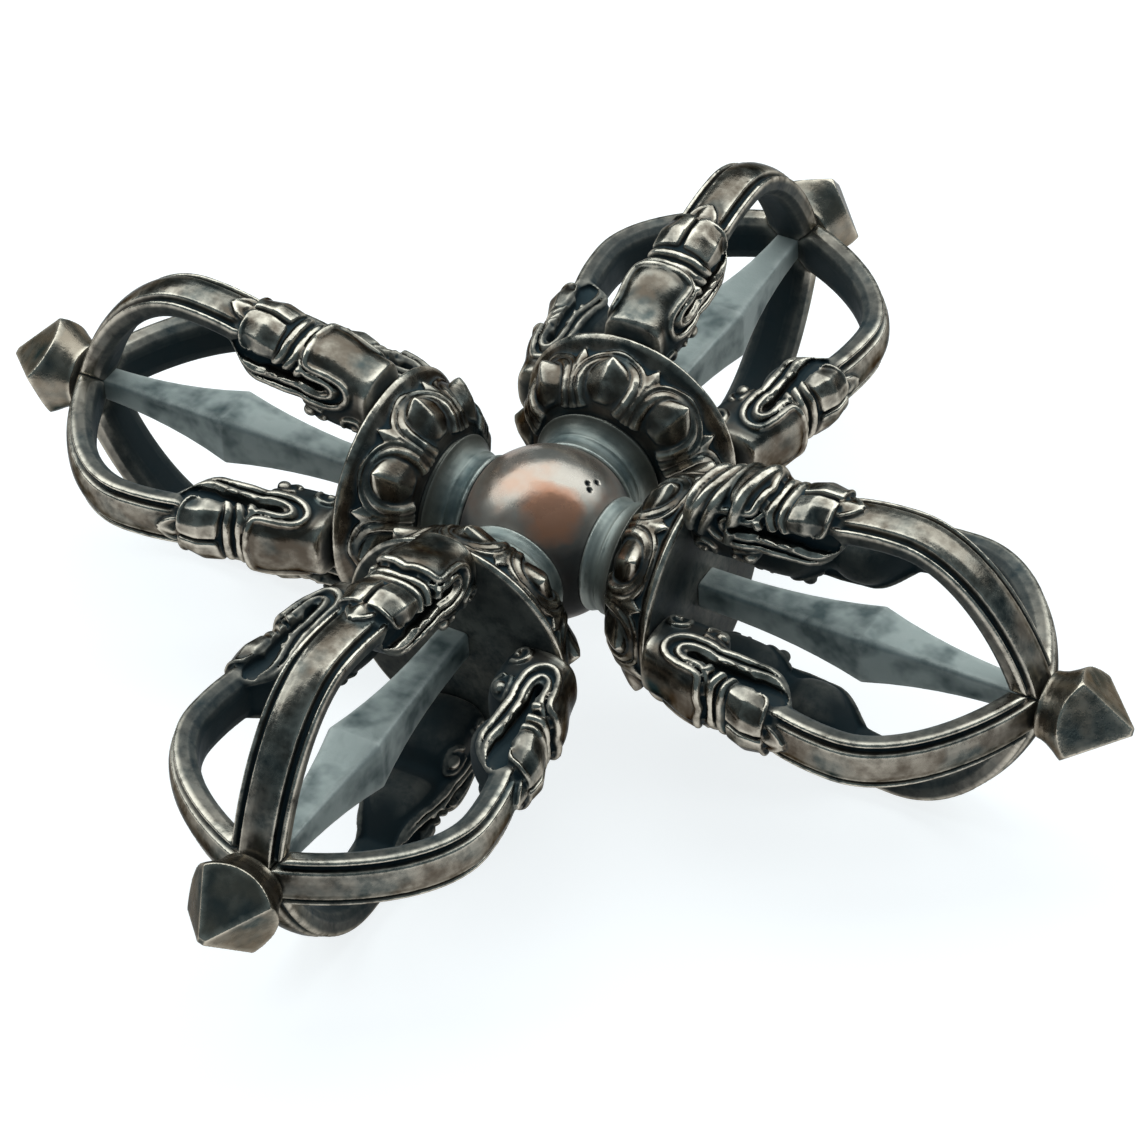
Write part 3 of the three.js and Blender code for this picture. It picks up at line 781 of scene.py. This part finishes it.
RIBBON_OUTER = [
    (28.4, 0.0, 17.4), (28.0, 1.4, 17.4), (27.8, 3.1, 17.0), (27.5, 3.8, 16.4), (26.8, 4.0, 16.1),
    (25.8, 4.0, 15.9), (24.2, 4.0, 15.6), (22.8, 4.0, 14.9), (22.2, 4.0, 13.6), (22.7, 4.0, 12.4),
    (24.1, 4.0, 11.7), (26.0, 4.0, 11.7), (28.3, 4.0, 12.0), (30.4, 4.0, 12.1), (32.6, 4.0, 11.9),
    (34.8, 4.0, 11.7), (36.6, 3.6, 12.1), (38.0, 3.1, 13.2), (38.6, 2.9, 14.6), (38.2, 2.9, 15.7),
]
RIBBON_INNER = [
    (28.9, 1.6, 17.0), (28.9, 3.0, 16.5), (28.5, 3.7, 15.9), (27.7, 4.0, 15.3), (26.7, 4.0, 14.95),
    (25.3, 4.0, 14.75), (24.2, 4.0, 14.2), (24.0, 4.0, 13.4), (24.8, 4.0, 12.9), (26.3, 4.0, 12.8),
    (28.4, 4.0, 13.1), (30.6, 4.0, 13.3), (32.6, 4.0, 13.1), (34.6, 4.0, 12.8), (36.1, 3.6, 13.1),
    (37.0, 3.1, 14.0), (37.0, 2.9, 15.2),
]
RIBBON_GROOVE = [
    (28.4, 3.2, 16.6), (27.6, 4.0, 15.8), (26.2, 4.0, 15.5), (24.5, 4.0, 15.1), (23.3, 4.0, 14.4),
    (23.1, 4.0, 13.4), (23.8, 4.0, 12.5), (25.2, 4.0, 12.2), (27.3, 4.0, 12.4), (29.4, 4.0, 12.7),
    (31.5, 4.0, 12.65), (33.6, 4.0, 12.35), (35.4, 4.0, 12.35), (36.8, 3.4, 13.0), (37.8, 3.0, 14.2),
    (37.7, 2.9, 15.3),
]
GROOVE_RADIUS = 0.26
COLLAR_RING = [
    (32.3, 3.9, 13.5), (31.3, 3.9, 15.1), (30.5, 3.7, 16.5), (30.3, 2.6, 17.3), (30.3, 0.0, 17.6),
]
LONG_WRINKLE = [
    (29.3, 0.0, 16.4), (29.2, 1.6, 16.3), (29.2, 3.0, 16.1), (29.7, 3.6, 15.2), (30.3, 3.8, 14.3),
    (30.9, 3.9, 13.5),
]
SHORT_WRINKLE = [(28.0, 3.8, 15.5), (28.5, 3.9, 14.6), (29.2, 3.9, 13.6)]
EYE_RING = [
    (25.2, 3.6, 9.6), (26.2, 3.5, 8.8), (27.6, 3.4, 8.7), (28.7, 3.4, 9.5), (29.0, 3.5, 10.5),
    (28.0, 3.7, 11.0), (26.6, 3.8, 10.9), (25.4, 3.8, 10.5),
]
EAR_CURL = [
    (23.0, 3.8, 8.7), (23.0, 3.8, 9.8), (21.9, 3.8, 10.4), (20.9, 3.8, 9.9), (21.1, 3.8, 8.9),
    (22.0, 3.8, 8.9),
]
EYE_BOSS, EYE_BOSS_SIZES = (27.2, 3.6, 9.95), (0.85, 0.65, 0.75)
MOUTH_BEND = [(24.9, 13.6), (25.2, 14.25), (26.3, 14.45), (27.3, 14.2), (27.6, 13.6), (25.7, 13.3)]
MOUTH_SLIT = [(26.6, 13.6), (26.9, 14.2), (28.6, 14.7), (31.0, 15.05), (33.4, 15.1), (33.4, 13.65)]
MOUTH_JAW = [
    (32.4, 13.75), (32.6, 14.4), (34.2, 15.5), (36.3, 16.1), (37.5, 15.4), (37.2, 14.1), (35.8, 13.5),
    (34.0, 13.45),
]
MOUTH_FLOOR, MOUTH_TOP = 2.3, 5.0
MOUTH_SOFTNESS, MOUTH_GRAIN = 0.2, 0.1
BLADE_SECTION = [
    (0, 1), (0.26, 0.97), (0.43, 0.88), (0.5, 0.8), (0.55, 0.86), (0.6, 0.72), (0.64, 0.34), (0.7, 0.16),
    (0.77, 0.24), (0.82, 0.52), (0.89, 0.62), (0.97, 0.52), (1.0, 0.25), (0.95, -0.4), (0.75, -0.85),
    (0.4, -1),
]
BLADE_HALF = 3.1
BLADE_THICKNESS = 3.3
BLADE_START, BLADE_END = 36.93, 60.3
BLADE_ROOT = [(34.4, 0, 17.2), (35.6, 0, 17.5)]
BLADE_FOOT, BLADE_SHOULDER = 17.8, 18.4
BOW_CROWN = 18.68
TIP_CROWN, TIP_TUCK = 1.8, (0.1, 0.4)
BOW_SHARE, RISE_EASE, FALL_EASE, TIP_EASE, TIP_LIFT = 0.3, 0.1, 0.32, 0.11, 0.44
RISE_STEPS, FALL_STEPS = 6, 22
ROOT_SHARE, ROOT_GROWTH = 0.8, 0.1
MITRE_GAP = 0.1
FOLDS = [(20.3, 1.6), (22.1, 1.7), (23.9, 1.8), (26.6, 1.4)]
FOLD_MIDDLE, FOLD_HALF, FOLD_RADIUS = 12, 5, 0.8
FOLD_FROM, FOLD_TO, FOLD_LEANING = -4, 4, 3
FOLD_STEP = math.pi / 7.5
FOLD_BULGE, FOLD_BULGE_SIZES = (25.4, 0, 16.4), (1.5, 3.6, 1.5)

# What is laid on each cheek: its line, its radius, how far its middle stands off the skin, and its fade.
CHEEK_BEADS = [
    (RIBBON_OUTER, 0.46, 0.12, 0), (RIBBON_INNER, 0.36, 0.12, 0), (COLLAR_RING, 0.52, 0.1, 0),
    (LONG_WRINKLE, 0.55, 0.4, 0.3), (SHORT_WRINKLE, 0.55, 0.4, 0.3), (EYE_RING, 0.34, 0.05, 0),
    (EAR_CURL, 0.36, 0.05, 0),
]


def bezier(corners, steps):
    """Points of one curve between the first and the last of four corners."""
    p0, p1, p2, p3 = (Vector(corner) for corner in corners)
    found = []
    for k in range(steps):
        t = k / steps
        found.append(p0 * (1 - t) ** 3 + p1 * 3 * t * (1 - t) ** 2 + p2 * 3 * t * t * (1 - t) + p3 * t ** 3)
    return found


def blade():
    """The blade: its section drawn along its crown line, and mitred to its three neighbours."""
    length = BLADE_END - BLADE_START
    bow = BLADE_START + BOW_SHARE * length
    rise = [(BLADE_START, 0, BLADE_FOOT), (BLADE_START + RISE_EASE * length, 0, BLADE_SHOULDER),
            (bow - RISE_EASE * length, 0, BOW_CROWN), (bow, 0, BOW_CROWN)]
    fall = [(bow, 0, BOW_CROWN), (bow + FALL_EASE * length, 0, BOW_CROWN),
            (BLADE_END - TIP_EASE * length, 0, TIP_CROWN + TIP_LIFT * BOW_CROWN), (BLADE_END, 0, TIP_CROWN)]
    crown = [Vector(point) for point in BLADE_ROOT] + bezier(rise, RISE_STEPS) + bezier(fall, FALL_STEPS)
    crown += [Vector((BLADE_END, 0, TIP_CROWN)), Vector((BLADE_END + TIP_TUCK[0], 0, TIP_TUCK[1]))]
    section = [(w * BLADE_HALF, (n - 1) * BLADE_THICKNESS / 2) for w, n in BLADE_SECTION]
    section += [(0, -BLADE_THICKNESS)] + [(-w, n) for w, n in reversed(section[1:])]
    outline = drawn([(w, n, 0) for w, n in section], kind="POLY", cyclic=True)
    outline.data.dimensions = "2D"
    growth = [min(1, ROOT_SHARE + ROOT_GROWTH * k) for k in range(len(crown))]
    path = drawn(crown, kind="POLY", radii=growth)
    path.data.twist_mode = "MINIMUM"
    path.data.bevel_mode = "OBJECT"
    path.data.bevel_object = outline
    path.data.use_fill_caps = True
    made = outward(meshed(path))
    bpy.data.objects.remove(outline)
    for side in (-1, 1):
        halved(made, (0, -side * MITRE_GAP, 0), (0, side, -1))
    return made


def both_sides(piece):
    """Adds a piece's mirror image across the prong's own plane."""
    return modified(piece, "MIRROR", use_axis=(False, True, False), use_mirror_merge=False)


def swelling(centre, sizes):
    """A rounded swelling that is fused to what it lies in."""
    bpy.ops.object.select_all(action="DESELECT")
    bpy.ops.mesh.primitive_uv_sphere_add(segments=32, ring_count=16, location=centre, scale=sizes)
    bpy.ops.object.transform_apply()
    return bpy.context.object


def fold(ground, start, lean):
    """A fold of skin that winds over the barrel, leaning further out from its one side to the other."""
    line = []
    for k in range(FOLD_FROM, FOLD_TO):
        across, up = math.sin(k * FOLD_STEP), math.cos(k * FOLD_STEP)
        line.append((start + lean * k / FOLD_LEANING, FOLD_HALF * across, FOLD_MIDDLE + FOLD_HALF * up))
    return laid(ground, line, FOLD_RADIUS, rise=0.3, fade=0.5)


def makara(folds=()):
    """One prong in millimetres, standing on the arm's top side."""
    neck = modified(loft(HEAD, HEAD_SQUARENESS), "SUBSURF", levels=2, render_levels=2)
    head = smoothed(fused(joined([neck, both_sides(block(JAW, JAW_SOFTNESS))]), HEAD_GRAIN), HEAD_ROUNDS)
    cheek = [softened(LOBE, grain=0.16, rounds=14)]
    cheek += [bead(drawn(edge), RIM_RADIUS) for edge in (LOBE_EDGE, LEAF_EDGE)]
    cheek += [laid(head, line, radius, rise, fade) for line, radius, rise, fade in CHEEK_BEADS]
    cheek.append(swelling(EYE_BOSS, EYE_BOSS_SIZES))
    pieces = [head, both_sides(joined(cheek)), blade(), block(LEAF, LEAF_SOFTNESS)]
    if folds:
        pieces += [fold(head, start, lean) for start, lean in folds]
        pieces.append(swelling(FOLD_BULGE, FOLD_BULGE_SIZES))
    groove = laid(head, RIBBON_GROOVE, GROOVE_RADIUS)
    hollows = []
    for hollow in (MOUTH_BEND, MOUTH_SLIT, MOUTH_JAW):
        corners = [(x, y, z) for x, z in hollow for y in (MOUTH_FLOOR, MOUTH_TOP)]
        hollows.append(block(corners, MOUTH_SOFTNESS))
    mouth = fused(joined(hollows), MOUTH_GRAIN)
    prong = fused(joined(pieces), grain=0.14)
    cut_by(prong, both_sides(mouth))
    cut_by(prong, both_sides(groove))
    return cast(prong, grain=0.14, keep=0.4)


plain_prong = makara()
folded_prong = makara(FOLDS)
for quarter, arm in enumerate(ARMS):
    for side, place in enumerate(["top", "left", "bottom", "right"]):
        master = folded_prong if (arm, place) == ("east", "top") else plain_prong
        fitted(master, dark_bronze, arm + "_prong_" + place, quarter, side)
bpy.data.objects.remove(plain_prong)
bpy.data.objects.remove(folded_prong)

# Finials. Each arm ends in a point that is turned with a neck and a round flare, and then filed to four
# faces, whose foot is an arch. It sits on the rod's peg and closes the four blades, and its edges shine.
FINIAL_PROFILE = [
    (60.25, 0.4), (60.25, 3.7), (60.9, 3.8), (61.6, 4.05), (62.5, 4.55), (63.4, 5.15), (64.2, 5.6),
    (64.8, 5.8), (70.5, 5.8), (70.5, 0.4),
]
CORE_PROFILE = [(60.25, 0), (60.25, 1.2), (70.4, 1.2), (70.4, 0)]
POINT_SLOPE = 0.73
POINT_START, POINT_END = 59, 69.9
POINT_BLUNT = 0.4
POINT_SQUARENESS = 40
POINT_ROLL = [-33, -25, -25, -20]
FILED_EDGE, FILED_SHARP = 0.3, math.radians(35)
# Colours of hollows and painted shade, skin, tarnish and worn places.
WORN_COLOURS = [(0.024, 0.034, 0.04), (0.2, 0.165, 0.127), (0.08, 0.094, 0.09), (0.56, 0.49, 0.4)]

finial = turned(FINIAL_PROFILE, steps=72)
widest = POINT_BLUNT + POINT_SLOPE * (POINT_END - POINT_START)
faces_from = (POINT_START, -widest, widest, widest)
faces_to = (POINT_END, -POINT_BLUNT, POINT_BLUNT, POINT_BLUNT)
four_faces = loft([faces_from, faces_to], POINT_SQUARENESS, count=8)
core = turned(CORE_PROFILE, steps=24)
modified(finial, "BOOLEAN", operation="UNION", solver="EXACT", object=core)
modified(finial, "BOOLEAN", operation="INTERSECT", solver="EXACT", object=four_faces)
bpy.data.objects.remove(core)
bpy.data.objects.remove(four_faces)
modified(finial, "BEVEL", width=FILED_EDGE, segments=2, limit_method="ANGLE", angle_limit=FILED_SHARP)
cast(finial, grain=0.12, keep=0.5)
worn_bronze = bronze("worn_bronze", WORN_COLOURS, matt=0.2, grain=1.3)
for quarter, arm in enumerate(ARMS):
    filed = linked("filed", finial.data.copy())
    filed.data.transform(Matrix.Rotation(math.radians(POINT_ROLL[quarter]), 4, "X"))
    fitted(filed, worn_bronze, arm + "_finial", quarter)
    bpy.data.objects.remove(filed)
bpy.data.objects.remove(finial)
